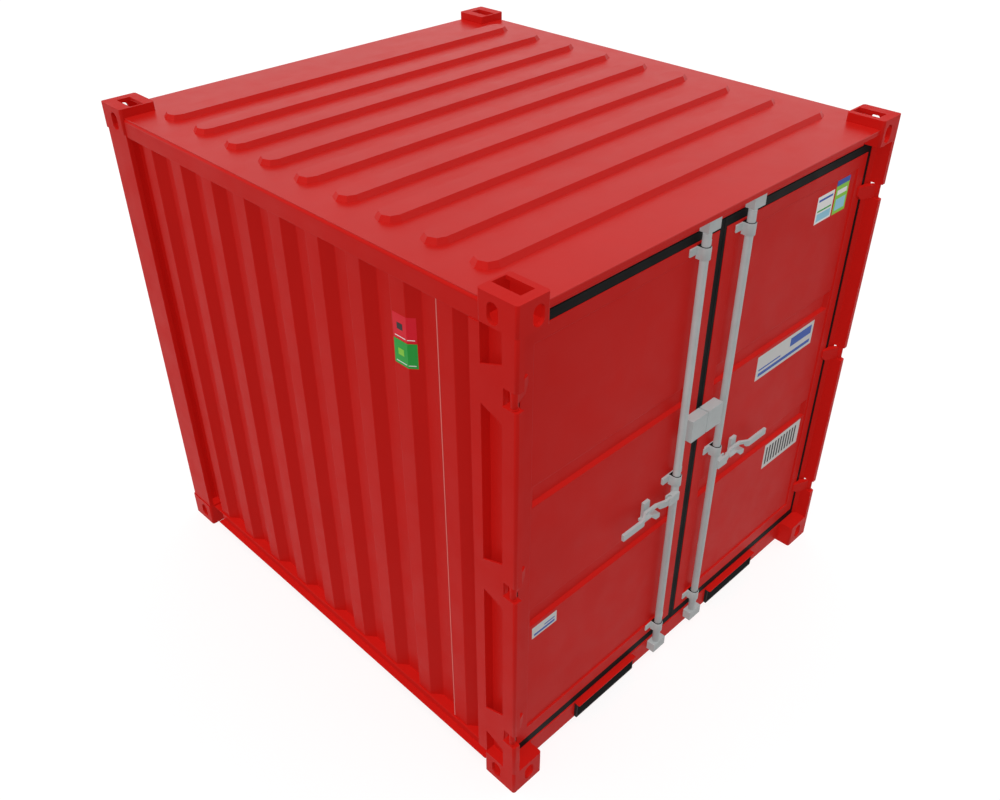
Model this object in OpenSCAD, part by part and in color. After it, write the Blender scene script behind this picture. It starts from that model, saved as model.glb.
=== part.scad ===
// Eight foot steel storage container: hollow box frame with corrugated walls,
// two hinged door leaves at the front (-Y) end, locking bars and lifting handles.

/* [Overall] */
// overall width over the corner castings
overall_w = 2200; // [2000:10:2600]
// overall length over the corner castings
overall_l = 2438; // [2200:1:3200]
// overall height over the corner castings
overall_h = 2260; // [2000:10:2900]
// thickness of the wall and panel sheets
sheet_t = 3; // [2:0.5:5]
// thickness of the plates in posts, rails and sills
plate_t = 6; // [4:0.5:8]

/* [Clearances] */
// running clearance round pins and bars
pin_clear = 0.4; // [0.3:0.1:0.8]
// gap between the doors and the frame round them
door_gap = 6; // [5:0.5:9]
// gap between the two door seals at the centre
centre_gap = 12; // [11:0.5:16]
// gap between a locking bar's end and its keeper
bar_end_gap = 4; // [3:0.5:8]

/* [Corner castings] */
// size of the lower castings across the container
cast_low_x = 160; // [140:1:180]
// size of the upper front castings across the container
cast_front_x = 138; // [130:1:160]
// size of the upper rear castings across the container
cast_rear_x = 157; // [140:1:180]
// size of all castings along the container
cast_y = 166; // [150:1:180]
// height of the lower castings
cast_low_h = 120; // [110:1:140]
// height of the upper castings
cast_top_h = 108; // [100:1:130]
// wall thickness of the castings' outer faces
cast_wall = 14; // [10:1:18]
// radius on the upright edges of the castings
cast_r = 11; // [6:1:14]
// width of the upright holes in the casting faces
face_hole_w = 48; // [40:1:52]
// height of the upright holes in the casting faces
face_hole_h = 74; // [60:1:76]
// distance of a side face's hole from the end plane
side_hole_y = 100; // [92:1:108]
// distance of an end face's hole from the side plane
end_hole_x = 88; // [78:1:94]
// height of the face holes above the lower castings' underside
low_hole_z = 62; // [58:1:68]
// height of the face holes above the upper castings' underside
top_hole_z = 46; // [45:1:54]
// width of the oblong hole in the casting top or bottom
lock_hole_w = 59; // [50:1:62]
// length of the oblong hole in the casting top or bottom
lock_hole_l = 117; // [100:1:120]
// distance of the oblong hole's middle from the side plane
lock_hole_x = 82; // [76:1:90]
// distance of the oblong hole's middle from the end plane
lock_hole_y = 98; // [90:1:99]

/* [Posts] */
// width of the post lip across the container
lip_w = 32; // [30:1:38]
// depth of the post lip along the container
lip_d = 62; // [56:1:66]
// radius on the post lip's outer front edge
lip_r = 12; // [6:1:14]
// set back of the slanting plate's far edge behind the front plane
post_front = 74; // [70:1:80]
// depth of the open recess behind the lip
recess_d = 45; // [40:1:52]
// set back of the rear flange from the side plane
flange_in = 5; // [3:0.5:9]
// width of the post's rear flange
flange_w = 47; // [36:1:60]
// width of the rear post's side lip across the container
rear_lip_w = 25; // [18:1:34]
// depth of the rear post's box along the container
rear_post_d = 117; // [100:1:140]
// set back of the rear post from the castings' faces
rear_post_in = 4; // [2:0.5:8]

/* [Hinges] */
// height of the lowest hinge
hinge_low = 324; // [300:1:360]
// distance of the highest hinge below the top plane
hinge_top_drop = 330; // [290:1:370]
// height of the gap in the post lip at a hinge
hinge_gap_h = 69; // [62:1:80]
// height of a hinge blade
hinge_blade_h = 58; // [46:1:58]
// size of the corner cut off the foot of a hinge blade
hinge_blade_cut = 22; // [10:1:28]
// distance of the hinge pin from the side plane
pin_in = 16; // [14:0.5:18]
// distance of the hinge pin behind the front plane
pin_back = 25; // [20:0.5:30]
// diameter of the hinge pin
pin_d = 16; // [12:0.5:18]
// outer diameter of the hinge barrel
barrel_d = 25; // [24:0.5:30]
// height of the stiffening plate at a hinge, next to the lip
gusset_front_h = 222; // [180:1:260]
// height of the stiffening plate at a hinge, next to the flange
gusset_rear_h = 142; // [110:1:180]

/* [Rails and sills] */
// height of the ledge on the bottom side rail
ledge_z = 110; // [100:1:119]
// height of the outer flange of the bottom side rail
rail_flange_z = 72; // [50:1:80]
// distance of the outer flange's end before the rear castings
rail_short = 78; // [60:1:100]
// set back of the bottom side rail's web from the side plane
rail_web_in = 28.5; // [20:0.5:35]
// width of the side rails across the container
rail_w = 100; // [90:1:120]
// set back of the top side rail from the side plane
top_rail_in = 8; // [6:0.5:12]
// height of the top side rail's underside below the top plane
top_rail_drop = 117; // [112:1:130]
// radius on the outer edge of the top rails
top_rail_r = 12; // [6:1:16]
// height of the sills' underside above the ground
sill_z = 23; // [10:1:40]
// depth of the front sill and header along the container
sill_d = 60; // [40:1:80]
// reach of the rear sill and header past the rear wall's inner face
wall_seat = 6; // [4:0.5:12]
// set back of the front sill behind the front plane
sill_in = 67; // [64:1:75]
// set back of the rear sill and header from the rear plane
rear_in = 12; // [8:1:20]
// height of the door header's underside below the top plane
header_drop = 114; // [109:1:120]
// set back of the header's front lip behind the front plane
header_lip_in = 12; // [8:1:20]
// height of the header's front lip
header_lip_h = 17; // [12:1:24]

/* [Walls and roof] */
// pitch of the wall corrugation
corr_pitch = 228; // [200:1:250]
// width of an outer flat of the corrugation
corr_outer = 73; // [60:1:85]
// run of a sloping flank of the corrugation
corr_slope = 44; // [30:1:52]
// depth of the corrugation
corr_d = 36; // [26:1:42]
// set back of the outer flats from the side and rear planes
wall_in = 37; // [32:1:44]
// forward end of the first outer flat behind the front plane
corr_start = 313; // [280:1:330]
// least flat left at the ends of the corrugated sheets
corr_end = 10; // [6:1:20]
// depth of the roof sheet below the top plane
roof_drop = 37; // [30:1:45]
// thickness of the roof sheet
roof_t = 4; // [3:0.5:6]
// set back of the roof sheet's edge from the top rails' face
roof_edge = 6; // [4:0.5:12]
// pitch of the roof ribs
rib_pitch = 229; // [200:1:235]
// radius of a rib's foot, half its width
rib_foot_r = 58; // [45:1:66]
// radius of a rib's flat top
rib_top_r = 43; // [30:1:44]
// height of a roof rib
rib_h = 21; // [15:1:26]
// distance of a rib's end centre from the side plane
rib_end_in = 181; // [160:1:230]

/* [Floor] */
// thickness of the floor boards
floor_t = 25; // [18:1:30]
// width of a floor stringer
stringer_w = 50; // [40:1:70]
// height of a floor stringer
stringer_h = 60; // [50:1:80]
// distance of the inner stringers from the centre line
stringer_in_x = 180; // [150:1:220]
// distance of the outer stringers from the centre line
stringer_out_x = 780; // [720:1:860]

/* [Fork pockets] */
// distance of a fork pocket's middle from the centre line
pocket_x = 471; // [440:1:500]
// outer width of a fork pocket
pocket_w = 380; // [340:1:420]
// height of a fork pocket's underside above the ground
pocket_z = 27; // [24:1:34]
// outer height of a fork pocket
pocket_h = 84; // [70:1:84]
// length of a fork pocket along the container
pocket_l = 170; // [120:1:220]
// reach of the pocket sleeve in front of the sill
pocket_out = 13; // [8:1:20]
// reach of the plate over a pocket in front of the sill
pocket_plate_out = 27; // [20:1:34]

/* [Door leaves] */
// set back of the leaf's front face behind the front plane
leaf_in = 66; // [64:0.5:72]
// depth of the leaf frame along the container
leaf_d = 50; // [40:1:60]
// width of the seal beside the leaf
seal_side = 25; // [18:1:30]
// height of the seal under the leaf
seal_low = 42; // [30:1:50]
// height of the seal over the leaf
seal_top = 36; // [26:1:44]
// width of the black band between the two leaves
centre_band = 44; // [36:1:50]
// set back of the seal's front behind the leaf's front
seal_in = 2; // [1:0.5:4]
// depth of the seal along the container
seal_d = 34; // [20:1:40]
// width of the leaf frame's outer stile
stile_out = 58; // [45:1:70]
// width of the leaf frame's inner stile
stile_in = 60; // [45:1:70]
// height of the leaf frame's bottom rail
leaf_rail_low = 67; // [50:1:67]
// height of the leaf frame's top rail
leaf_rail_top = 53; // [46:1:70]
// set back of the panel behind the leaf frame's front
panel_in = 6; // [3:0.5:10]
// depth of the grooves pressed into the panel
groove_d = 16; // [10:1:22]
// height of the lower groove's lower edge below the handle pivot
groove_down = 178; // [165:1:190]
// height of the upper groove's lower edge above the handle pivot
groove_up = 408; // [395:1:430]
// height of a groove
groove_h = 91; // [70:1:94]
// rise of a groove's lower flank
groove_rise = 10; // [6:1:16]
// run of a groove's other flanks
groove_run = 18; // [12:1:24]
// distance of a groove's ends from the panel's edges
groove_end = 10; // [6:1:20]

/* [Locking gear] */
// distance of a locking bar from the centre line
bar_x = 136.5; // [130:0.5:142]
// distance of a locking bar's axis in front of the leaf
bar_out = 23; // [21:0.5:25]
// diameter of a locking bar
bar_d = 32; // [28:1:32]
// half width of a bar guide
guide_half = 62; // [50:1:70]
// thickness of a bar guide's strap
guide_t = 5; // [4:0.5:6]
// height of a bar guide's flange
guide_flange_h = 30; // [24:1:36]
// height of a bar guide's loop
guide_loop_h = 48; // [40:1:54]
// height of the top of the low guide above the ground
guide_low = 232; // [226:1:234]
// height of the top of the middle guide above the handle pivot
guide_up = 98; // [90:1:110]
// distance of the top of the high guide below the top plane
guide_high_drop = 168; // [164:1:172]
// width of a low keeper block across the container
keeper_low_w = 81; // [70:1:90]
// width of a top keeper block across the container
keeper_top_w = 71; // [60:1:80]
// distance of a low keeper's middle to the right of its bar
keeper_low_x = 10.5; // [4:0.5:18]
// distance of a top keeper's middle to the right of its bar
keeper_top_x = 18; // [4:1:20]
// reach of a keeper block in front of the leaf plane
keeper_out = 39; // [34:1:46]
// height of a keeper block
keeper_h = 48; // [36:1:55]
// height of the low keepers' top above the ground
keeper_low = 108; // [96:1:112]
// height of the handle pivot above the ground
pivot_z = 985; // [960:1:1000]
// distance of the handle pivot from the bar's axis
pivot_out = 42; // [40:1:52]
// height of the hub block on a bar
hub_h = 42; // [38:1:48]
// reach of the hub block in front of the bar's axis
hub_out = 25; // [24:0.5:30]
// height of the hub block's underside below the handle pivot
hub_drop = 17; // [17:1:20]
// gap between the handle's round end and the cover of the hub block
hub_gap = 2; // [1:0.5:4]
// length of the hub block beyond the handle pivot
hub_end = 20; // [18:1:24]
// thickness of the handle's flat bar
handle_t = 12; // [10:0.5:13]
// height of the handle's flat bar
handle_h = 31; // [26:1:32]
// diameter of the handle's pivot pin
pivot_d = 8; // [6:0.5:10]
// length of the handle from its pivot
handle_l = 311; // [290:1:330]
// distance from the pivot to where the handle starts towards the leaf
handle_u0 = 32; // [30:1:40]
// distance from the pivot to where the handle runs nearest the leaf
handle_u1 = 78; // [70:1:90]
// distance from the pivot to where the handle leaves the leaf again
handle_u2 = 148; // [130:1:160]
// distance from the pivot to the start of the grip
handle_u3 = 184; // [174:1:200]
// step of the handle towards the leaf
handle_in = 14; // [8:0.5:15]
// step of the grip away from the leaf, from the pivot's plane
handle_out = 8.5; // [4:0.5:14]
// distance from the pivot to the notch under the handle's middle
notch_u = 62; // [54:1:70]
// length of the notch under the handle's middle
notch_l = 110; // [90:1:116]
// height of the notch under the handle's middle
notch_h = 15; // [10:1:18]
// distance of a handle catch from the centre line
catch_x = 298; // [280:1:310]
// reach of a handle catch in front of the panel
catch_out = 14; // [10:0.5:15]
// reach of a catch's upright tab to the left of the catch's middle
tab_left = 18; // [10:1:24]
// width of a catch's upright tab
tab_w = 37; // [30:1:44]
// height of a catch's upright tab above the handle pivot
tab_up = 44; // [36:1:56]
// reach of a catch's shelf in front of its tab
shelf_out = 14; // [8:1:16]
// thickness of the shelf
shelf_t = 12; // [8:1:14]
// height of the shelf's top below the handle pivot
shelf_down = 30; // [24:1:36]
// reach of the shelf to the left of the catch's middle
shelf_left = 32; // [24:1:40]
// distance from the catch's middle to where the shelf starts to fall
shelf_bend = 22; // [16:1:28]
// reach of the shelf to the right of the catch's middle
shelf_right = 78; // [66:1:90]
// fall of the shelf's right part
shelf_fall = 22; // [14:1:26]
// width of the lug under the shelf's right end
lug_w = 24; // [18:1:32]
// height of the lug's end
lug_h = 22; // [16:1:28]
// half width of the box over the centre seam
box_half = 99; // [85:1:105]
// height of the box over the centre seam
box_h = 103; // [80:1:120]
// height of the box's underside above the handle pivot
box_up = 247; // [235:1:270]
// depth of the box in front of the leaves
box_d = 45; // [36:1:52]
// gap between the halves of the box
box_gap = 5; // [5:0.5:12]

/* [Hidden] */
$fn = 48;
cut = 1;
half_w = overall_w / 2;
half_l = overall_l / 2;
paint = [0.68, 0.1, 0.09];
paint_dark = [0.6, 0.09, 0.08];
zinc = [0.62, 0.62, 0.62];
rubber = [0.09, 0.09, 0.09];
timber = [0.55, 0.4, 0.25];
// inner faces of the castings
low_in_x = half_w - cast_low_x;
front_in_x = half_w - cast_front_x;
rear_in_x = half_w - cast_rear_x;
cast_in_y = half_l - cast_y;
// heights
post_top = overall_h - cast_top_h;
top_rail_z = overall_h - top_rail_drop;
roof_z = overall_h - roof_drop;
rail_top_z = roof_z - roof_t;
header_z = overall_h - header_drop;
// numbers of corrugations and ribs that the lengths have room for
wall_start_y = -half_l + corr_start;
wall_room = cast_in_y - corr_slope - corr_outer - corr_end - wall_start_y;
side_flats = floor(wall_room / corr_pitch) + 1;
rear_half = half_w - rail_w;
rear_sill_d = wall_in + corr_d + sheet_t + wall_seat - rear_in;
rear_room = 2 * (rear_half - corr_slope - corr_end) - corr_outer;
rear_flats = floor(rear_room / corr_pitch) + 1;
rib_count = floor(2 * (cast_in_y - rib_foot_r) / rib_pitch) + 1;
// door planes
jamb_in = recess_d + plate_t;
sill_y = -half_l + sill_in;
leaf_y = -half_l + leaf_in;
panel_y = leaf_y + panel_in;
bar_y = leaf_y - bar_out;
leaf_x0 = -half_w + jamb_in + door_gap + seal_side;
leaf_x1 = -centre_band / 2;
leaf_z0 = cast_low_h + door_gap + seal_low;
leaf_z1 = header_z - door_gap - seal_top;
field_x0 = leaf_x0 + stile_out;
field_x1 = leaf_x1 - stile_in;
field_z0 = leaf_z0 + leaf_rail_low;
field_z1 = leaf_z1 - leaf_rail_top;
hinge_high = overall_h - hinge_top_drop;
hinge_z = [hinge_low, (hinge_low + hinge_high) / 2, hinge_high];
// heights that follow the handle pivot
guide_mid = pivot_z + guide_up;
box_z = pivot_z + box_up;
groove_zs = [pivot_z - groove_down, pivot_z + groove_up];
// handle pivot and the handle's planes
pivot_x = -bar_x - pivot_out;
pivot_y = bar_y - hub_out / 2;
rib_x = half_w - rib_end_in;
floor_z = cast_low_h;

// puts a shape drawn for the left side on the right side
module right_side() {
    mirror([1, 0, 0]) children();
}

// puts a shape drawn for the front end at the rear end
module rear_end() {
    mirror([0, 1, 0]) children();
}

// a box from one corner to the opposite one
module span(p, q) {
    translate(p) cube(q - p);
}

// moves the front left corner of the frame to the origin of its children
module corner() {
    translate([-half_w, -half_l, 0]) children();
}

// oblong hole outline along its second axis
module slot_2d(w, l) {
    square([w, l - w], center = true);
    for (s = [-1, 1])
        translate([0, s * (l - w) / 2]) circle(d = w);
}

// square outline with one rounded outer corner at the origin
module round_corner_2d(w, d, r) {
    translate([r, 0]) square([w - r, d]);
    translate([0, r]) square([w, d - r]);
    translate([r, r]) circle(r);
}

// square outline with four rounded corners
module round_box_2d(w, d, r) {
    translate([r, 0]) square([w - 2 * r, d]);
    translate([0, r]) square([w, d - 2 * r]);
    for (x = [r, w - r], y = [r, d - r])
        translate([x, y]) circle(r);
}

// hollow corner casting, its outer corner on the origin, its oblong hole in the top or bottom
module casting_shape(w, h, hole_z, at_top) {
    z0 = at_top ? plate_t : cast_wall;
    z1 = at_top ? h - cast_wall : h - plate_t;
    difference() {
        linear_extrude(h) round_box_2d(w, cast_y, cast_r);
        span([cast_wall, cast_wall, z0], [w - plate_t, cast_y - plate_t, z1]);
        translate([lock_hole_x, lock_hole_y, at_top ? z1 - cut : -cut])
            linear_extrude(cast_wall + 2 * cut) square([lock_hole_w, lock_hole_l], center = true);
        translate([-cut, side_hole_y, hole_z]) rotate([90, 0, 90])
            linear_extrude(cast_wall + 2 * cut) slot_2d(face_hole_w, face_hole_h);
        translate([end_hole_x, cast_wall + cut, hole_z]) rotate([90, 0, 0])
            linear_extrude(cast_wall + 2 * cut) slot_2d(face_hole_w, face_hole_h);
    }
}

module casting_low() {
    color(paint) corner() casting_shape(cast_low_x, cast_low_h, low_hole_z, false);
}

module casting_top(w) {
    color(paint) translate([0, 0, post_top]) corner() casting_shape(w, cast_top_h, top_hole_z, true);
}

// front post: lip, slanting plate, web, recess and rear plate
module front_post_2d() {
    round_corner_2d(lip_w, lip_d, lip_r);
    polygon([[lip_w, lip_d - plate_t], [jamb_in, post_front - plate_t], [recess_d, post_front],
        [lip_w - plate_t, lip_d]]);
    translate([recess_d, post_front - plate_t]) square([plate_t, cast_y - post_front + plate_t]);
    translate([flange_in, cast_y - plate_t]) square([rail_w - flange_in, plate_t]);
}

// stiffening plate in the recess behind a hinge
module gusset(z) {
    y0 = lip_d - plate_t;
    y1 = cast_y - plate_t / 2;
    translate([flange_in + plate_t, 0, z]) rotate([90, 0, -90]) mirror([1, 0, 0])
        linear_extrude(plate_t)
            polygon([[y0, -gusset_front_h / 2], [y1, -gusset_rear_h / 2],
                [y1, gusset_rear_h / 2], [y0, gusset_front_h / 2]]);
}

module front_post() {
    color(paint) corner() {
        difference() {
            union() {
                translate([0, 0, cast_low_h]) linear_extrude(post_top - cast_low_h) front_post_2d();
                for (z = hinge_z) gusset(z);
            }
            for (z = hinge_z)
                span([-cut, -cut, z - hinge_gap_h / 2], [lip_w + cut, lip_d, z + hinge_gap_h / 2]);
        }
        span([flange_in, cast_y - plate_t, cast_low_h],
            [flange_in + plate_t, cast_y - plate_t + flange_w, top_rail_z]);
        for (z = hinge_z)
            translate([pin_in, pin_back, z - hinge_gap_h / 2 - plate_t])
                cylinder(d = pin_d, h = hinge_gap_h + 2 * plate_t);
    }
}

// rear post: closed box section, a side lip and a web that carries on the wall's inner flats
module rear_post() {
    w = rail_w - rear_post_in;
    d = rear_post_d - rear_post_in;
    color(paint) rear_end() corner() translate([rear_post_in, rear_post_in, cast_low_h])
        linear_extrude(post_top - cast_low_h) difference() {
            union() {
                round_corner_2d(w, d, cast_r);
                translate([0, cast_r])
                    square([rear_lip_w - rear_post_in, cast_y - rear_post_in - cast_r]);
                translate([wall_in + corr_d - rear_post_in, d - plate_t])
                    square([sheet_t, cast_y - rear_post_d + plate_t]);
            }
            translate([plate_t, plate_t]) square([w - 2 * plate_t, d - 2 * plate_t]);
        }
}

// draws a profile, x inward from the side plane and y upward, along the side
module along_side(short = 0) {
    translate([-half_w, cast_in_y - short, 0]) rotate([90, 0, 0])
        linear_extrude(2 * cast_in_y - short) children();
}

module bottom_rail() {
    color(paint) {
        along_side() translate([rail_web_in, ledge_z - plate_t]) square([rail_w - rail_web_in, plate_t]);
        along_side(rail_short) {
            translate([rail_web_in, rail_flange_z - plate_t])
                square([plate_t, ledge_z - rail_flange_z + plate_t]);
            translate([0, rail_flange_z - plate_t]) square([rail_web_in + plate_t, plate_t]);
        }
    }
}

module top_rail() {
    w = rail_w - top_rail_in;
    h = rail_top_z - top_rail_z;
    color(paint) along_side() translate([top_rail_in, top_rail_z]) difference() {
        translate([0, h]) mirror([0, 1]) round_corner_2d(w, h, top_rail_r);
        translate([plate_t, -cut]) square([w - 2 * plate_t, h - plate_t + cut]);
    }
}

// channel open to the back, from one casting to the other
module sill_shape(d) {
    difference() {
        span([-low_in_x, 0, sill_z], [low_in_x, d, cast_low_h]);
        span([-low_in_x - cut, plate_t, sill_z + plate_t], [low_in_x + cut, d + cut, cast_low_h - plate_t]);
    }
}

module front_sill() {
    color(paint) difference() {
        translate([0, sill_y, 0]) sill_shape(sill_d);
        for (s = [-1, 1])
            span([s * pocket_x - pocket_w / 2, sill_y - cut, pocket_z],
                [s * pocket_x + pocket_w / 2, sill_y + sill_d + cut, pocket_z + pocket_h]);
    }
}

module rear_sill() {
    color(paint) rear_end() translate([0, -half_l + rear_in, 0]) sill_shape(rear_sill_d);
}

// closed box section from one upper casting to the other
module header_box(d, z0, x1) {
    difference() {
        span([-x1, 0, z0], [x1, d, rail_top_z]);
        span([-x1 - cut, plate_t, z0 + plate_t], [x1 + cut, d - plate_t, rail_top_z - plate_t]);
    }
}

module front_header() {
    color(paint) {
        translate([0, leaf_y, 0]) header_box(sill_d, header_z, front_in_x);
        span([-front_in_x, -half_l + header_lip_in, rail_top_z - header_lip_h],
            [front_in_x, leaf_y + plate_t, rail_top_z]);
    }
}

module rear_header() {
    color(paint) rear_end() translate([0, -half_l + rear_in, 0]) header_box(rear_sill_d, post_top, rear_in_x);
}

// corrugated sheet outline: flats on x = 0 and x = corr_d, from y0 to y1
function corr_line(start, count, y0, y1) = concat(
    [[corr_d, y0]],
    [for (i = [0:count - 1]) let (y = start + i * corr_pitch) each [
        [corr_d, y - corr_slope], [0, y], [0, y + corr_outer], [corr_d, y + corr_outer + corr_slope]]],
    [[corr_d, y1]]);

module corr_sheet_2d(start, count, y0, y1) {
    line = corr_line(start, count, y0, y1);
    last = len(line) - 1;
    polygon(concat(line, [for (i = [0:last]) line[last - i] + [sheet_t, 0]]));
}

module side_wall() {
    color(paint) translate([-half_w + wall_in, 0, ledge_z])
        linear_extrude(rail_top_z - plate_t - ledge_z)
            corr_sheet_2d(wall_start_y, side_flats, -cast_in_y, cast_in_y);
}

module rear_wall() {
    start = -((rear_flats * corr_pitch - corr_pitch) + corr_outer) / 2;
    color(paint) translate([0, half_l - wall_in, cast_low_h]) rotate(-90) mirror([0, 1])
        linear_extrude(post_top - cast_low_h) corr_sheet_2d(start, rear_flats, -rear_half, rear_half);
}

// pressed rib with half octagon ends
module rib(foot, top, h) {
    hull()
        for (s = [-1, 1])
            translate([s * rib_x, 0, 0]) cylinder(r1 = foot, r2 = top, h = h, $fn = 8);
}

module roof_sheet() {
    edge_x = half_w - top_rail_in - roof_edge;
    first = -(rib_count * rib_pitch - rib_pitch) / 2;
    ys = [for (i = [0:rib_count - 1]) first + i * rib_pitch];
    color(paint) difference() {
        union() {
            span([-edge_x, -cast_in_y, rail_top_z], [edge_x, cast_in_y, roof_z]);
            for (y = ys) translate([0, y, roof_z]) rib(rib_foot_r, rib_top_r, rib_h);
        }
        for (y = ys)
            translate([0, y, rail_top_z - cut]) rib(rib_foot_r - roof_t, rib_top_r - roof_t, rib_h + cut);
    }
}

// plates that carry the roof on between the upper castings, over the headers
module roof_ends() {
    edge_y = half_l - header_lip_in;
    color(paint) {
        span([-front_in_x, -edge_y, rail_top_z], [front_in_x, -cast_in_y, roof_z]);
        span([-rear_in_x, cast_in_y, rail_top_z], [rear_in_x, edge_y, roof_z]);
    }
}

module floor_panel() {
    wide = half_w - wall_in - corr_d - sheet_t;
    front = sill_y + sill_d;
    color(timber) {
        span([-wide, -cast_in_y, floor_z], [wide, cast_in_y, floor_z + floor_t]);
        span([-rear_half, front - plate_t, floor_z],
            [rear_half, half_l - wall_in - corr_d - sheet_t, floor_z + floor_t]);
    }
}

module floor_stringers() {
    y0 = sill_y + sill_d;
    y1 = half_l - rear_in - rear_sill_d;
    color(paint_dark)
        for (x = [-stringer_out_x, -stringer_in_x, stringer_in_x, stringer_out_x])
            span([x - stringer_w / 2, y0, floor_z - stringer_h], [x + stringer_w / 2, y1, floor_z]);
}

// two sleeves for the forks of a lift truck
module fork_pockets() {
    y0 = sill_y - pocket_out;
    color(rubber) for (x = [-pocket_x, pocket_x]) difference() {
        span([x - pocket_w / 2, y0, pocket_z], [x + pocket_w / 2, y0 + pocket_l, pocket_z + pocket_h]);
        span([x - pocket_w / 2 + plate_t, y0 - cut, pocket_z + plate_t],
            [x + pocket_w / 2 - plate_t, y0 + pocket_l + cut, pocket_z + pocket_h - plate_t]);
    }
}

// plates over the mouths of the fork pockets
module fork_plates() {
    z0 = pocket_z + pocket_h;
    color(paint) for (x = [-pocket_x, pocket_x])
        span([x - pocket_w / 2, sill_y - pocket_plate_out, z0], [x + pocket_w / 2, sill_y, z0 + plate_t]);
}

// keeper blocks that the locking bars' ends stand at, two on the sill and two on the header
module keepers() {
    y0 = leaf_y - keeper_out;
    color(zinc) for (x = [-bar_x, bar_x]) {
        translate([x + keeper_low_x, 0, 0])
            span([-keeper_low_w / 2, y0, keeper_low - keeper_h], [keeper_low_w / 2, sill_y, keeper_low]);
        translate([x + keeper_top_x, 0, 0])
            span([-keeper_top_w / 2, y0, header_z], [keeper_top_w / 2, leaf_y, rail_top_z - header_lip_h]);
    }
}

// hinge blade outline, pin on the origin, leaf to the right
module blade_2d() {
    u = leaf_x0 + half_w - pin_in;
    w = leaf_in - pin_back;
    difference() {
        union() {
            circle(d = barrel_d);
            polygon([[barrel_d / 3, 0], [u + stile_out / 2, w - plate_t], [u + stile_out / 2, w],
                [u, w + plate_t], [u, w], [u - seal_side, w], [0, barrel_d / 2 - cut]]);
        }
        circle(d = pin_d + 2 * pin_clear);
    }
}

// hinge blade, its lower corner on the leaf cut off
module blade() {
    end = leaf_x0 + half_w - pin_in + stile_out / 2 + cut;
    size = hinge_blade_cut + cut;
    translate([0, 0, -hinge_blade_h / 2]) difference() {
        linear_extrude(hinge_blade_h) blade_2d();
        translate([end, leaf_in, -cut]) rotate([90, 0, 0])
            linear_extrude(leaf_in) polygon([[0, 0], [0, size], [-size, 0]]);
    }
}

module leaf_frame() {
    color(paint) {
        difference() {
            span([leaf_x0, leaf_y, leaf_z0], [leaf_x1, leaf_y + leaf_d, leaf_z1]);
            span([field_x0, leaf_y - cut, field_z0], [field_x1, leaf_y + leaf_d + cut, field_z1]);
        }
        for (z = hinge_z)
            translate([pin_in - half_w, pin_back - half_l, z]) blade();
    }
}

// groove pressed into the panel, its mouth on y = 0
module groove(z, grow) {
    x0 = field_x0 + groove_end;
    x1 = field_x1 - groove_end;
    hull() {
        span([x0, -cut, z], [x1, grow, z + groove_h]);
        span([x0 + groove_run, groove_d + grow - cut, z + groove_rise],
            [x1 - groove_run, groove_d + grow, z + groove_h - groove_run]);
    }
}

module leaf_panel() {
    color(paint) translate([0, panel_y, 0]) difference() {
        union() {
            span([field_x0, 0, field_z0], [field_x1, sheet_t, field_z1]);
            for (z = groove_zs)
                intersection() {
                    groove(z, sheet_t);
                    span([field_x0, 0, field_z0], [field_x1, groove_d + sheet_t, field_z1]);
                }
        }
        for (z = groove_zs) groove(z, 0);
    }
}

module seal() {
    y0 = leaf_y + seal_in;
    color(rubber) difference() {
        span([leaf_x0 - seal_side, y0, leaf_z0 - seal_low],
            [-centre_gap / 2, y0 + seal_d, leaf_z1 + seal_top]);
        span([leaf_x0, y0 - cut, leaf_z0], [leaf_x1, y0 + seal_d + cut, leaf_z1]);
    }
}

// strap round a locking bar: two flanges on the leaf and a loop in front
module guide(top, seat_y) {
    loop_r = bar_d / 2 + pin_clear + guide_t;
    translate([-bar_x, 0, 0]) difference() {
        union() {
            span([-guide_half, leaf_y - guide_t, top - guide_flange_h], [guide_half, leaf_y, top]);
            span([-guide_half, leaf_y - guide_t, top - guide_flange_h], [guide_half, seat_y, top]);
            span([-loop_r, bar_y, top - guide_loop_h], [loop_r, leaf_y, top]);
            translate([0, bar_y, top - guide_loop_h]) cylinder(r = loop_r, h = guide_loop_h);
        }
        translate([0, bar_y, top - guide_loop_h - cut])
            cylinder(d = bar_d + 2 * pin_clear, h = guide_loop_h + 2 * cut);
        span([-guide_half, seat_y, top - guide_loop_h - cut], [guide_half, seat_y + loop_r, top + cut]);
    }
}

module guides() {
    color(zinc) {
        guide(guide_low, leaf_y);
        difference() {
            guide(guide_mid, panel_y);
            span([field_x1, leaf_y, guide_mid - guide_loop_h], [0, panel_y + cut, guide_mid + cut]);
        }
        guide(overall_h - guide_high_drop, leaf_y);
    }
}

// catch for a handle: upright tab, and a shelf that falls to a lug on the right
module catch_shape() {
    z0 = pivot_z - shelf_down - shelf_t;
    z1 = pivot_z - shelf_down;
    end_z = z1 - shelf_fall;
    color(zinc) {
        span([-tab_left, panel_y - catch_out, z0], [tab_w - tab_left, panel_y, pivot_z + tab_up]);
        translate([0, panel_y, 0]) rotate([90, 0, 0]) linear_extrude(catch_out + shelf_out)
            polygon([[-shelf_left, z0], [-shelf_left, z1], [shelf_bend, z1], [shelf_right, end_z],
                [shelf_right, end_z - lug_h], [shelf_right - lug_w, end_z - lug_h], [shelf_bend, z0]]);
    }
}

// half of the box over the centre seam
module lock_box() {
    color(zinc) span([-box_half, leaf_y - box_d, box_z], [-box_gap / 2, leaf_y, box_z + box_h]);
}

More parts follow.
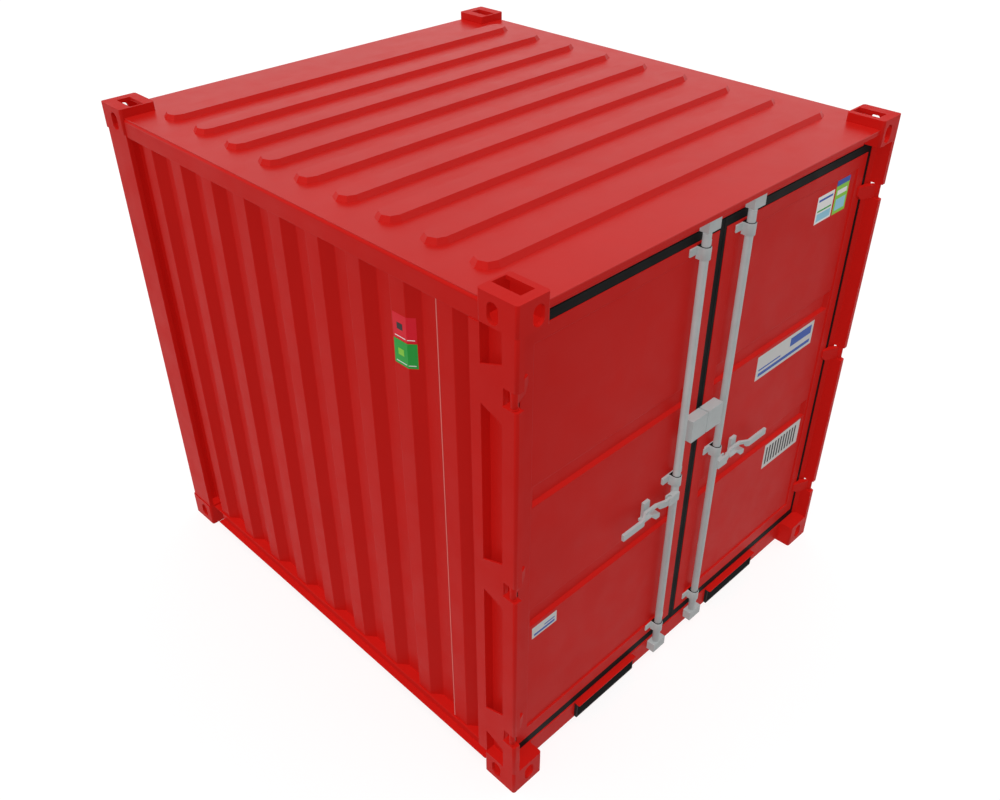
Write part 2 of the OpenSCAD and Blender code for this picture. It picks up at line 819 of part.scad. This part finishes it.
// locking bar with the hub block that carries the handle
module bar() {
    slot = handle_t + 2 * pin_clear;
    z0 = pivot_z - hub_drop;
    color(zinc) {
        translate([-bar_x, bar_y, keeper_low + bar_end_gap])
            cylinder(d = bar_d, h = header_z - keeper_low - 2 * bar_end_gap);
        difference() {
            span([pivot_x - hub_end, bar_y - hub_out, z0], [-bar_x, bar_y, z0 + hub_h]);
            span([pivot_x - hub_end - cut, pivot_y - slot / 2, z0 - cut],
                [pivot_x + hub_end, pivot_y + slot / 2, pivot_z + handle_h / 2 + hub_gap]);
            span([pivot_x - hub_end - cut, pivot_y - slot / 2, pivot_z],
                [pivot_x, pivot_y + slot / 2, z0 + hub_h + cut]);
        }
        translate([pivot_x, bar_y, pivot_z]) rotate([90, 0, 0]) cylinder(d = pivot_d, h = hub_out);
    }
}

// lifting handle: flat bar stepped towards the leaf and out again, notched under its middle
module handle() {
    t = handle_t / 2;
    h = handle_h / 2;
    line = [[0, 0], [-handle_u0, 0], [-handle_u1, handle_in], [-handle_u2, handle_in],
        [-handle_u3, -handle_out], [-handle_l, -handle_out]];
    last = len(line) - 1;
    color(zinc) translate([pivot_x, pivot_y, pivot_z]) difference() {
        union() {
            translate([0, t, 0]) rotate([90, 0, 0]) cylinder(r = h, h = handle_t);
            translate([0, 0, -h]) linear_extrude(handle_h)
                polygon(concat([for (p = line) p - [0, t]],
                    [for (i = [0:last]) line[last - i] + [0, t]]));
        }
        translate([0, t + cut, 0]) rotate([90, 0, 0])
            cylinder(d = pivot_d + 2 * pin_clear, h = handle_t + 2 * cut);
        span([-notch_u - notch_l, -handle_out - handle_t, -h - cut],
            [-notch_u, handle_in + handle_t, notch_h - h]);
    }
}

casting_low();  // casting_low_front_left
right_side() casting_low();  // casting_low_front_right
rear_end() casting_low();  // casting_low_rear_left
right_side() rear_end() casting_low();  // casting_low_rear_right
casting_top(cast_front_x);  // casting_top_front_left
right_side() casting_top(cast_front_x);  // casting_top_front_right
rear_end() casting_top(cast_rear_x);  // casting_top_rear_left
right_side() rear_end() casting_top(cast_rear_x);  // casting_top_rear_right
front_post();  // front_post_left
right_side() front_post();  // front_post_right
rear_post();  // rear_post_left
right_side() rear_post();  // rear_post_right
bottom_rail();  // bottom_rail_left
right_side() bottom_rail();  // bottom_rail_right
top_rail();  // top_rail_left
right_side() top_rail();  // top_rail_right
front_sill();
rear_sill();
front_header();
rear_header();
side_wall();  // side_wall_left
right_side() side_wall();  // side_wall_right
rear_wall();
roof_sheet();
roof_ends();
floor_panel();
floor_stringers();
fork_pockets();
fork_plates();
keepers();
leaf_frame();  // left_leaf_frame
leaf_panel();  // left_leaf_panel
seal();  // left_seal
guides();  // left_guides
translate([-catch_x, 0, 0]) catch_shape();  // left_catch
lock_box();  // left_lock_box
bar();  // left_bar
handle();  // left_handle
right_side() leaf_frame();  // right_leaf_frame
right_side() leaf_panel();  // right_leaf_panel
right_side() seal();  // right_seal
right_side() guides();  // right_guides
translate([catch_x, 0, 0]) catch_shape();  // right_catch
right_side() lock_box();  // right_lock_box
right_side() bar();  // right_bar
right_side() handle();  // right_handle
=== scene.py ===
"""Looks of the storage container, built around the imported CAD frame. Lengths are in metres."""
import math

import bmesh
import bpy
from mathutils import Matrix, Vector


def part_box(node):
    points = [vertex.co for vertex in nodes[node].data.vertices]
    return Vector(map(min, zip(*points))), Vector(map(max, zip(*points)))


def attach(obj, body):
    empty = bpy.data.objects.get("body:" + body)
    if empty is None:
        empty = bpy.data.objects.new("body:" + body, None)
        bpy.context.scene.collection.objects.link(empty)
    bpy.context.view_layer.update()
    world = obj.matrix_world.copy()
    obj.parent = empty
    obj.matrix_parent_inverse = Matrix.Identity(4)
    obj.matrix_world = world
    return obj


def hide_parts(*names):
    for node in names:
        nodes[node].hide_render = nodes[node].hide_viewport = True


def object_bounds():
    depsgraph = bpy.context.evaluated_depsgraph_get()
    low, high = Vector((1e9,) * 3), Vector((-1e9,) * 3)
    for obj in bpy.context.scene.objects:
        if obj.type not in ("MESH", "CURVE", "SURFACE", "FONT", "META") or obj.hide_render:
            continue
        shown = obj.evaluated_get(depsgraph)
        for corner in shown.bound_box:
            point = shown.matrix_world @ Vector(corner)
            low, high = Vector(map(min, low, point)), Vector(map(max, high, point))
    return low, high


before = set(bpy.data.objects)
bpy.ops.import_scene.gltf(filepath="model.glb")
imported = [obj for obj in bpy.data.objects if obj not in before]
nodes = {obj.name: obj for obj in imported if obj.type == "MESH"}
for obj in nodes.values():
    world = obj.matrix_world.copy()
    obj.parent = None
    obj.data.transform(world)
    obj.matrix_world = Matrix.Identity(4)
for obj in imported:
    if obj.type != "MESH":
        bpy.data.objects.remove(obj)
cad_lo, cad_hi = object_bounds()
scene = bpy.context.scene

# camera at the photograph's viewing angle, for an image of 1000 x 800 pixels
EYE = Vector((-2.7882, -2.8639, 3.6114))
TARGET = Vector((0.0314, 0.0, 0.7792))
ROLL = math.radians(-0.236)
FOCAL_PX, IMAGE_PX = 989.8, 1000.0
SENSOR_MM = 36.0
CLIP_END = 100.0

# places taken over from the CAD frame
SIDES = (("left", -1), ("right", 1))
BAR_X, BAR_Y = 0.1365, -1.176
PIN_X, PIN_Y = 1.084, -1.194
HINGE_ZS = (0.324, 1.127, 1.930)
GUIDE_TOPS = (0.232, 1.083, 2.092)
LEAF_Y, PANEL_Y = -1.153, -1.147
STRINGER_XS = (-0.780, -0.180, 0.180, 0.780)

# floor boards, laid across the stringers between the front and the rear castings
BOARD_COUNT, BOARD_END = 9, 1.053
BOARD_PITCH = 2 * BOARD_END / BOARD_COUNT

# roundings of the CAD nodes' edges, and the angle from which an edge is rounded
WIDE_EDGE, FINE_EDGE = 0.002, 0.0015
SHARP_ANGLE = math.radians(30)
WELD_GAP = 1e-5

# heights of a printed plate and of the patches on it, above the surface
PLATE_LIFT, PATCH_LIFT = 0.0006, 0.0010

# light of the stage
WORLD_STRENGTH = 0.42
FLOOR_HALF = 30.0
FLOOR_TONES = ((0.34, 0.34, 0.34), (0.36, 0.36, 0.36))
FLOOR_GLOW, FLOOR_SHADE = 0.52, 0.5
LAMP_ANGLE = math.radians(20)
LAMPS = (("front_left", (-1, -1, 1), 1.12),
         ("rear_left", (-1, 1, 1), 1.17),
         ("front_right", (1, -1, 1), 0.3),
         ("rear_right", (1, 1, 0), 0.36),
         ("top", (0, 0, 1), 0.55))

# the span in which most values of a noise lie
NOISE_LOW, NOISE_HIGH = 0.3, 0.7


def make_camera():
    cam = bpy.data.objects.new("Camera", bpy.data.cameras.new("Camera"))
    scene.collection.objects.link(cam)
    cam.data.sensor_width = SENSOR_MM
    cam.data.lens = FOCAL_PX * SENSOR_MM / IMAGE_PX
    cam.data.clip_end = CLIP_END
    turn = (TARGET - EYE).to_track_quat("-Z", "Y").to_matrix().to_4x4()
    cam.matrix_world = Matrix.Translation(EYE) @ turn @ Matrix.Rotation(ROLL, 4, "Z")
    scene.camera = cam


make_camera()


# materials

class Graph:
    """Small helper that adds and links the nodes of one material."""

    def __init__(self, name):
        self.mat = bpy.data.materials.new(name)
        self.mat.use_nodes = True
        self.tree = self.mat.node_tree
        self.tree.nodes.clear()
        self.out = self.add("ShaderNodeOutputMaterial")
        self.bsdf = self.add("ShaderNodeBsdfPrincipled")
        self.link(self.bsdf.outputs["BSDF"], self.out.inputs["Surface"])
        self.coord = self.add("ShaderNodeTexCoord").outputs["Object"]

    def add(self, kind, **values):
        node = self.tree.nodes.new(kind)
        for key, value in values.items():
            setattr(node, key, value)
        return node

    def link(self, a, b):
        self.tree.links.new(a, b)

    def set(self, **values):
        for key, value in values.items():
            self.bsdf.inputs[key.replace("_", " ")].default_value = value

    def noise(self, scale, detail=4.0, rough=0.55, vector=None):
        node = self.add("ShaderNodeTexNoise")
        node.inputs["Scale"].default_value = scale
        node.inputs["Detail"].default_value = detail
        node.inputs["Roughness"].default_value = rough
        self.link(vector or self.coord, node.inputs["Vector"])
        return node.outputs["Fac"]

    def ramp(self, fac, stops):
        node = self.add("ShaderNodeValToRGB")
        ramp = node.color_ramp
        while len(ramp.elements) < len(stops):
            ramp.elements.new(0.5)
        for element, (place, colour) in zip(ramp.elements, stops):
            element.position = place
            element.color = (*colour, 1.0)
        self.link(fac, node.inputs["Fac"])
        return node.outputs["Color"]

    def span(self, fac, low, high, to_low, to_high):
        node = self.add("ShaderNodeMapRange")
        for key, value in zip(("From Min", "From Max", "To Min", "To Max"),
                              (low, high, to_low, to_high)):
            node.inputs[key].default_value = value
        self.link(fac, node.inputs["Value"])
        return node.outputs["Result"]

    def math(self, operation, value, by=0.0):
        node = self.add("ShaderNodeMath", operation=operation)
        self.link(value, node.inputs[0])
        node.inputs[1].default_value = by
        return node.outputs["Value"]

    def bump(self, height, distance, strength):
        node = self.add("ShaderNodeBump")
        node.inputs["Distance"].default_value = distance
        node.inputs["Strength"].default_value = strength
        self.link(height, node.inputs["Height"])
        self.link(node.outputs["Normal"], self.bsdf.inputs["Normal"])


def linear(rgb):
    """sRGB values of 0 to 255 as linear colour."""
    return tuple(c / 255 / 12.92 if c <= 10 else ((c / 255 + 0.055) / 1.055) ** 2.4 for c in rgb)


def coat_material(name, rgb, spread=0.05, grain=2.2, rough=(0.42, 0.52), gloss=0.2):
    """An even coat whose tone and sheen vary a little over the surface."""
    sheen_scale, peel_scale, peel_depth, peel_strength = 9.0, 420.0, 0.0003, 0.1
    g = Graph(name)
    base = linear(rgb)
    deep = tuple(c * (1 - spread) for c in base)
    pale = tuple(min(1.0, c * (1 + spread)) for c in base)
    tone = g.ramp(g.noise(grain, 6.0, 0.6), [(NOISE_LOW, deep), (NOISE_HIGH, pale)])
    sheen = g.span(g.noise(sheen_scale, 5.0), NOISE_LOW, NOISE_HIGH, *rough)
    g.link(tone, g.bsdf.inputs["Base Color"])
    g.link(sheen, g.bsdf.inputs["Roughness"])
    g.bump(g.noise(peel_scale, 2.0, 0.5), peel_depth, peel_strength)
    g.set(Specular_IOR_Level=gloss)
    return g.mat


def timber_material():
    """Grain across the container, with a tone and a grain of its own for each board."""
    board_shift, grain_stretch = (5.0, 5.0, 5.0), (0.9, 14.0, 14.0)
    browns = ((0.25, (112, 76, 46)), (0.5, (146, 104, 66)), (0.75, (170, 128, 86)))
    darkest, palest = 0.8, 1.15
    g = Graph("timber")
    place = g.add("ShaderNodeSeparateXYZ")
    g.link(g.coord, place.inputs["Vector"])
    along = g.math("ADD", place.outputs["Y"], BOARD_END)
    board = g.math("FLOOR", g.math("DIVIDE", along, BOARD_PITCH))
    chance = g.add("ShaderNodeTexWhiteNoise", noise_dimensions="1D")
    g.link(board, chance.inputs["W"])
    shift = g.add("ShaderNodeVectorMath", operation="MULTIPLY_ADD")
    g.link(chance.outputs["Color"], shift.inputs[0])
    shift.inputs[1].default_value = board_shift
    g.link(g.coord, shift.inputs[2])
    stretch = g.add("ShaderNodeMapping")
    stretch.inputs["Scale"].default_value = grain_stretch
    g.link(shift.outputs["Vector"], stretch.inputs["Vector"])
    grain = g.noise(3.0, 8.0, 0.62, stretch.outputs["Vector"])
    wood = g.ramp(grain, [(stop, linear(rgb)) for stop, rgb in browns])
    tone = g.add("ShaderNodeHueSaturation")
    g.link(wood, tone.inputs["Color"])
    g.link(g.span(chance.outputs["Value"], 0.0, 1.0, darkest, palest), tone.inputs["Value"])
    g.link(tone.outputs["Color"], g.bsdf.inputs["Base Color"])
    g.link(g.span(grain, NOISE_LOW, NOISE_HIGH, 0.5, 0.7), g.bsdf.inputs["Roughness"])
    g.bump(grain, 0.001, 0.3)
    return g.mat


RED = coat_material("paint_red", (188, 24, 19), spread=0.03, gloss=0.07)
ROOF_RED = coat_material("paint_roof", (188, 26, 21), spread=0.03, rough=(0.28, 0.36), gloss=0.115)
ZINC = coat_material("zinc", (168, 173, 173), grain=20.0, rough=(0.4, 0.5), gloss=0.25)
BLACK = coat_material("black", (15, 15, 15), spread=0.15, grain=18.0, rough=(0.55, 0.7), gloss=0.06)
POCKET_BLACK = coat_material("pocket_black", (32, 32, 32), spread=0.1, rough=(0.5, 0.6), gloss=0.1)
# pale seam colour: a painted highlight that stands in for the light line along the side-wall seams
SEAM_HIGHLIGHT_PAINT = coat_material("sealant", (206, 120, 114))
TIMBER = timber_material()
PRINT_WHITE = coat_material("print_white", (226, 226, 224), spread=0.03)
PRINT_GREY = coat_material("print_grey", (196, 196, 194), spread=0.03)
PRINT_BLUE = coat_material("print_blue", (36, 78, 160))
PRINT_SKY = coat_material("print_sky", (140, 195, 215))
PRINT_GREEN = coat_material("print_green", (38, 150, 58))
PRINT_LIME = coat_material("print_lime", (128, 190, 60))
PRINT_RED = coat_material("print_red", (208, 24, 42))
PRINT_BLACK = coat_material("print_black", (34, 34, 34))


# CAD nodes

def dress(obj, mat, edge):
    """Gives a CAD node its material and, where edge isn't 0, softly rounded edges."""
    obj.data.materials.clear()
    obj.data.materials.append(mat)
    if edge:
        weld = obj.modifiers.new("weld", "WELD")
        weld.merge_threshold = WELD_GAP
        bevel = obj.modifiers.new("bevel", "BEVEL")
        bevel.width = edge
        bevel.segments = 2
        bevel.limit_method = "ANGLE"
        bevel.angle_limit = SHARP_ANGLE


ZINC_WORDS = ("keepers", "guides", "catch", "lock_box", "bar", "handle")
for name, obj in nodes.items():
    if "seal" in name:
        dress(obj, BLACK, 0.0)
    elif name == "fork_pockets":
        dress(obj, POCKET_BLACK, FINE_EDGE)
    elif any(word in name for word in ZINC_WORDS):
        dress(obj, ZINC, FINE_EDGE)
    elif name.startswith("roof"):
        dress(obj, ROOF_RED, 0.0)
    elif name == "floor_panel":
        dress(obj, TIMBER, 0.0)
    else:
        dress(obj, RED, WIDE_EDGE)


# mesh helpers

def prism(bm, outline, push):
    """Adds a closed prism: an outline of points and the vector that it is pushed along."""
    ends = [[bm.verts.new(Vector(p) + lift) for p in outline] for lift in (Vector(), Vector(push))]
    made = [bm.faces.new(ends[0][::-1]), bm.faces.new(ends[1])]
    for i in range(len(outline)):
        j = i - 1
        made.append(bm.faces.new((ends[0][j], ends[0][i], ends[1][i], ends[1][j])))
    return made


def skin(bm, rings, closed=False):
    """Joins rings of points, each a closed loop, into a skin with ends, or into a closed tube."""
    rows = [[bm.verts.new(p) for p in ring] for ring in rings]
    pairs = list(zip(rows, rows[1:]))
    if closed:
        pairs.append((rows[-1], rows[0]))
    else:
        bm.faces.new(rows[0][::-1])
        bm.faces.new(rows[-1])
    for a, b in pairs:
        for i in range(len(a)):
            bm.faces.new((a[i - 1], a[i], b[i], b[i - 1]))


def washer(bm, radii, heights, place, steps):
    """Adds a flat ring about an upright axis, with its inner and outer radius, low and high face."""
    inner, outer = radii
    low, high = heights
    angles = [2 * math.pi * i / steps for i in range(steps)]
    skin(bm, [[Vector(place) + Vector((r * math.cos(a), r * math.sin(a), h)) for a in angles]
              for r, h in ((inner, low), (outer, low), (outer, high), (inner, high))], closed=True)


def frame_bead(bm, lo, hi, y, radius, rows=6):
    """Adds a half round bead round an upright rectangle, facing -Y."""
    rings = []
    for i in range(rows):
        angle = math.pi * i / (rows - 1)
        out, rise = radius * math.cos(angle), radius * math.sin(angle)
        x0, z0, x1, z1 = lo[0] - out, lo[1] - out, hi[0] + out, hi[1] + out
        rings.append([Vector((x, y - rise, z)) for x, z in ((x0, z0), (x1, z0), (x1, z1), (x0, z1))])
    skin(bm, rings, closed=True)


def seam(bm, points, side, up, radius, rows=5):
    """Adds a half round bead along a line: side is across it, up is away from the surface."""
    side, up = Vector(side), Vector(up)
    angles = [math.pi * i / (rows - 1) for i in range(rows)]
    arc = [side * (radius * math.cos(a)) + up * (radius * math.sin(a)) for a in angles]
    skin(bm, [[Vector(p) + offset for offset in arc] for p in points])


def piece(name, bm, mats, body):
    """Turns a bmesh into a piece of the scene that moves with a body."""
    bmesh.ops.recalc_face_normals(bm, faces=bm.faces)
    mesh = bpy.data.meshes.new(name)
    bm.to_mesh(mesh)
    bm.free()
    for mat in mats:
        mesh.materials.append(mat)
    obj = bpy.data.objects.new(name, mesh)
    scene.collection.objects.link(obj)
    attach(obj, body)
    return obj


# pieces

def floor_boards():
    """Boards across the container in place of the plain floor panel, with grooves between them."""
    lo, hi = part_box("floor_panel")
    narrow, groove, depth, chamfer = 1.000, 0.0015, 0.008, 0.003
    ys = [lo[1]] + [i * BOARD_PITCH - BOARD_END for i in range(BOARD_COUNT + 1)] + [hi[1]]
    edge = [(groove, -depth), (groove, -chamfer), (groove + chamfer, 0)]
    bm = bmesh.new()
    for y0, y1 in zip(ys, ys[1:]):
        half = narrow if y0 < -BOARD_END or y1 > BOARD_END else hi[0]
        outline = [(y0, lo[2]), (y1, lo[2]), (y1, hi[2] - depth)]
        outline += [(y1 - d, hi[2] + h) for d, h in edge]
        outline += [(y0 + d, hi[2] + h) for d, h in edge[::-1]]
        outline.append((y0, hi[2] - depth))
        prism(bm, [(-half, y, z) for y, z in outline], (2 * half, 0, 0))
    boards = piece("floor_boards", bm, [TIMBER], "frame")
    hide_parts("floor_panel")


def floor_screws():
    """Two screw heads where each board lies on a stringer."""
    radii, heights, edge = (0.0016, 0.0055), (-0.001, 0.0004), 0.045
    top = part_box("floor_panel")[1][2]
    bm = bmesh.new()
    for i in range(BOARD_COUNT):
        y = i * BOARD_PITCH - BOARD_END
        for place in (y + edge, y + BOARD_PITCH - edge):
            for x in STRINGER_XS:
                washer(bm, radii, heights, (x, place, top), steps=12)
    piece("floor_screws", bm, [ZINC], "frame")


def panel_seams(side):
    """Thin sealed seam where a door panel meets its leaf frame."""
    lo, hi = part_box(f"{side}_leaf_panel")
    radius = 0.0025
    bm = bmesh.new()
    frame_bead(bm, (lo[0] + radius, lo[2] + radius), (hi[0] - radius, hi[2] - radius), lo[1], radius)
    piece(f"{side}_panel_seams", bm, [RED], f"{side}_door")


def centre_lip():
    """Rubber lip with a round edge on the right door, across the gap between the two door seals."""
    lo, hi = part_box("right_seal")
    root, clear, setback, radius, steps = 0.001, 0.002, 0.001, 0.00225, 8
    x, y = clear - lo[0] + radius, lo[1] + setback + radius
    outline = [(lo[0] + root, y - radius, lo[2]), (lo[0] + root, y + radius, lo[2])]
    for i in range(steps + 1):
        angle = math.pi * (0.5 + i / steps)
        outline.append((x + radius * math.cos(angle), y + radius * math.sin(angle), lo[2]))
    bm = bmesh.new()
    prism(bm, outline, (0, 0, hi[2] - lo[2]))
    piece("centre_lip", bm, [BLACK], "right_door")


def bar_bushings(side, k):
    """Black bushings on the bar guides: round in front of the bar, square behind it."""
    inner, outer, height, steps = 0.0164, 0.0190, 0.002, 48
    back = LEAF_Y - BAR_Y
    hole, rim = [], []
    for i in range(steps):
        angle = 2 * math.pi * i / steps
        c, s = math.cos(angle), math.sin(angle)
        hole.append(Vector((inner * c, inner * s, 0)))
        if s > 0:
            far = max(abs(c), s)
            rim.append(Vector((outer * c / far, back * s / far, 0)))
        else:
            rim.append(Vector((outer * c, outer * s, 0)))
    loops = ((hole, 0), (rim, 0), (rim, height), (hole, height))
    bm = bmesh.new()
    for top in GUIDE_TOPS:
        foot = Vector((k * BAR_X, BAR_Y, top))
        skin(bm, [[foot + p + Vector((0, 0, z)) for p in loop] for loop, z in loops], closed=True)
    piece(f"{side}_bushings", bm, [BLACK], f"{side}_door")


def hinge_washers():
    """Washers on the hinge pins, in the gaps above and below the blades."""
    radii, height, half_blade = (0.0084, 0.0150), 0.0046, 0.0294
    bm = bmesh.new()
    for _, k in SIDES:
        for z in HINGE_ZS:
            for low in (z - half_blade - height, z + half_blade):
                washer(bm, radii, (0, height), (k * PIN_X, PIN_Y, low), steps=24)
    piece("hinge_washers", bm, [RED], "frame")


def wall_seam():
    """A weld bead where two sheets of the side walls join, coloured pale as a painted highlight line
    along it.
    """
    lo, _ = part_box("side_wall_left")
    y, top, radius = -0.833, 2.142, 0.002
    bm = bmesh.new()
    for x in (lo[0], -lo[0]):
        seam(bm, [(x, y, lo[2]), (x, y, top)], (0, 1, 0), (math.copysign(1, x), 0, 0), radius)
    piece("wall_seams", bm, [SEAM_HIGHLIGHT_PAINT], "frame")


# printed plates: plain patches of colour, no lettering

def patch(bm, origin, across, up, box, lift, index):
    """Adds one flat patch with its own material to a plate."""
    across, up = Vector(across), Vector(up)
    normal = across.cross(up)
    x0, z0, x1, z1 = box
    corners = [Vector(origin) + across * a + up * b
               for a, b in ((x0, z0), (x1, z0), (x1, z1), (x0, z1))]
    for face in prism(bm, corners, normal * lift):
        face.material_index = index


def plate(name, body, origin, across, size, mats, patches):
    """An upright plate: its base, then patches of (material index, x0, z0, x1, z1) as shares of it."""
    up = (0, 0, 1)
    w, h = size
    bm = bmesh.new()
    patch(bm, origin, across, up, (0, 0, w, h), PLATE_LIFT, 0)
    for index, x0, z0, x1, z1 in patches:
        patch(bm, origin, across, up, (x0 * w, z0 * h, x1 * w, z1 * h), PATCH_LIFT, index)
    piece(name, bm, mats, body)


def door_plates():
    """Plates on the door panels, each with its lower left corner, size, materials and patches."""
    bars = [(1, 0.05 + 0.08 * i, 0.14, 0.09 + 0.08 * i, 0.86) for i in range(11)]
    for name, body, (x, z), size, mats, patches in (
            ("plate_upper_white", "right_door", (0.674, 1.889), (0.125, 0.118),
             [PRINT_WHITE, PRINT_SKY, PRINT_BLUE, PRINT_GREEN],
             [(1, 0.08, 0.08, 0.92, 0.36), (3, 0.08, 0.42, 0.92, 0.48), (2, 0.08, 0.8, 0.92, 0.88)]),
            ("plate_upper_green", "right_door", (0.812, 1.888), (0.100, 0.148),
             [PRINT_LIME, PRINT_BLUE, PRINT_WHITE, PRINT_SKY],
             [(1, 0, 0.84, 1, 1), (3, 0.12, 0.1, 0.88, 0.44), (2, 0.12, 0.56, 0.88, 0.7)]),
            ("plate_middle", "right_door", (0.415, 1.255), (0.443, 0.120),
             [PRINT_GREY, PRINT_BLUE],
             [(1, 0.04, 0.12, 0.96, 0.26), (1, 0.04, 0.36, 0.42, 0.42), (1, 0.58, 0.5, 0.96, 0.86)]),
            ("plate_lower", "right_door", (0.624, 0.658), (0.302, 0.139),
             [PRINT_GREY, PRINT_BLACK], bars),
            ("plate_small", "left_door", (-0.935, 0.731), (0.135, 0.057),
             [PRINT_GREY, PRINT_BLUE], [(1, 0.08, 0.16, 0.92, 0.34), (1, 0.5, 0.5, 0.92, 0.6)])):
        plate(name, body, (x, PANEL_Y, z), (1, 0, 0), size, mats, patches)


def wall_plates():
    """Two plates on an outer flat of the left wall, bent round its front edge."""
    x, y_far, y_bend = cad_lo[0] + 0.037, -0.609, -0.6775
    height, bend_width = 0.097, 0.034
    slope = Vector((0.036, -0.044, 0)).normalized()
    lines = [(1, 0.12, 0.1, 0.9, 0.13), (2, 0.3, 0.4, 0.72, 0.66)]
    bend_lines = [(1, 0.0, 0.1, 0.8, 0.13)]
    for name, mats, z in (("plate_wall_red", [PRINT_RED, PRINT_WHITE, PRINT_BLACK], 1.890),
                          ("plate_wall_green", [PRINT_GREEN, PRINT_WHITE, PRINT_LIME], 1.790)):
        plate(name, "frame", (x, y_far, z), (0, -1, 0), (y_far - y_bend, height), mats, lines)
        plate(name + "_bend", "frame", (x, y_bend, z), slope, (bend_width, height), mats, bend_lines)


floor_boards()
floor_screws()
hinge_washers()
wall_seam()
centre_lip()
for side, k in SIDES:
    panel_seams(side)
    bar_bushings(side, k)
door_plates()
wall_plates()


# stage

def seen_rays(tree):
    """A socket that is 1 for rays that show the background and 0 for rays that only light."""
    path = tree.nodes.new("ShaderNodeLightPath")
    seen = path.outputs["Is Camera Ray"]
    for ray in ("Is Glossy Ray", "Is Transmission Ray"):
        most = tree.nodes.new("ShaderNodeMath")
        most.operation = "MAXIMUM"
        tree.links.new(seen, most.inputs[0])
        tree.links.new(path.outputs[ray], most.inputs[1])
        seen = most.outputs["Value"]
    return seen


def floor_material():
    """A floor that lights the part as a grey one, and is seen as white with a faint shadow."""
    g = Graph("floor_white")
    tone = g.ramp(g.noise(0.6), list(zip((NOISE_LOW, NOISE_HIGH), FLOOR_TONES)))
    g.link(tone, g.bsdf.inputs["Base Color"])
    g.set(Roughness=0.9)
    glow = g.add("ShaderNodeEmission")
    glow.inputs["Strength"].default_value = FLOOR_GLOW
    soft = g.add("ShaderNodeBsdfDiffuse")
    soft.inputs["Color"].default_value = (FLOOR_SHADE, FLOOR_SHADE, FLOOR_SHADE, 1)
    both = g.add("ShaderNodeAddShader")
    g.link(glow.outputs["Emission"], both.inputs[0])
    g.link(soft.outputs["BSDF"], both.inputs[1])
    mix = g.add("ShaderNodeMixShader")
    g.link(seen_rays(g.tree), mix.inputs[0])
    g.link(g.bsdf.outputs["BSDF"], mix.inputs[1])
    g.link(both.outputs["Shader"], mix.inputs[2])
    g.link(mix.outputs["Shader"], g.out.inputs["Surface"])
    return g.mat


def make_floor():
    r = FLOOR_HALF
    mesh = bpy.data.meshes.new("floor")
    mesh.from_pydata([(-r, -r, 0), (r, -r, 0), (r, r, 0), (-r, r, 0)], [], [(0, 1, 2, 3)])
    mesh.materials.append(floor_material())
    floor = bpy.data.objects.new("floor", mesh)
    scene.collection.objects.link(floor)


def make_world():
    """A world that lights weakly and is seen as white."""
    world = bpy.data.worlds.new("World")
    scene.world = world
    world.use_nodes = True
    tree = world.node_tree
    tree.nodes.clear()
    out = tree.nodes.new("ShaderNodeOutputWorld")
    back = tree.nodes.new("ShaderNodeBackground")
    back.inputs["Color"].default_value = (1, 1, 1, 1)
    level = tree.nodes.new("ShaderNodeMapRange")
    level.inputs["To Min"].default_value = WORLD_STRENGTH
    level.inputs["To Max"].default_value = 1.0
    tree.links.new(seen_rays(tree), level.inputs["Value"])
    tree.links.new(level.outputs["Result"], back.inputs["Strength"])
    tree.links.new(back.outputs["Background"], out.inputs["Surface"])


def sun(name, towards, strength):
    """A soft fill lamp without shadow or highlight, from a direction given as a vector towards it."""
    data = bpy.data.lights.new(name, "SUN")
    data.energy = strength
    data.angle = LAMP_ANGLE
    data.use_shadow = False
    lamp = bpy.data.objects.new(name, data)
    scene.collection.objects.link(lamp)
    lamp.visible_glossy = False
    lamp.rotation_mode = "QUATERNION"
    lamp.rotation_quaternion = Vector(towards).to_track_quat("Z", "Y")


make_floor()
make_world()
for lamp in LAMPS:
    sun(*lamp)
scene.view_settings.view_transform = "Standard"
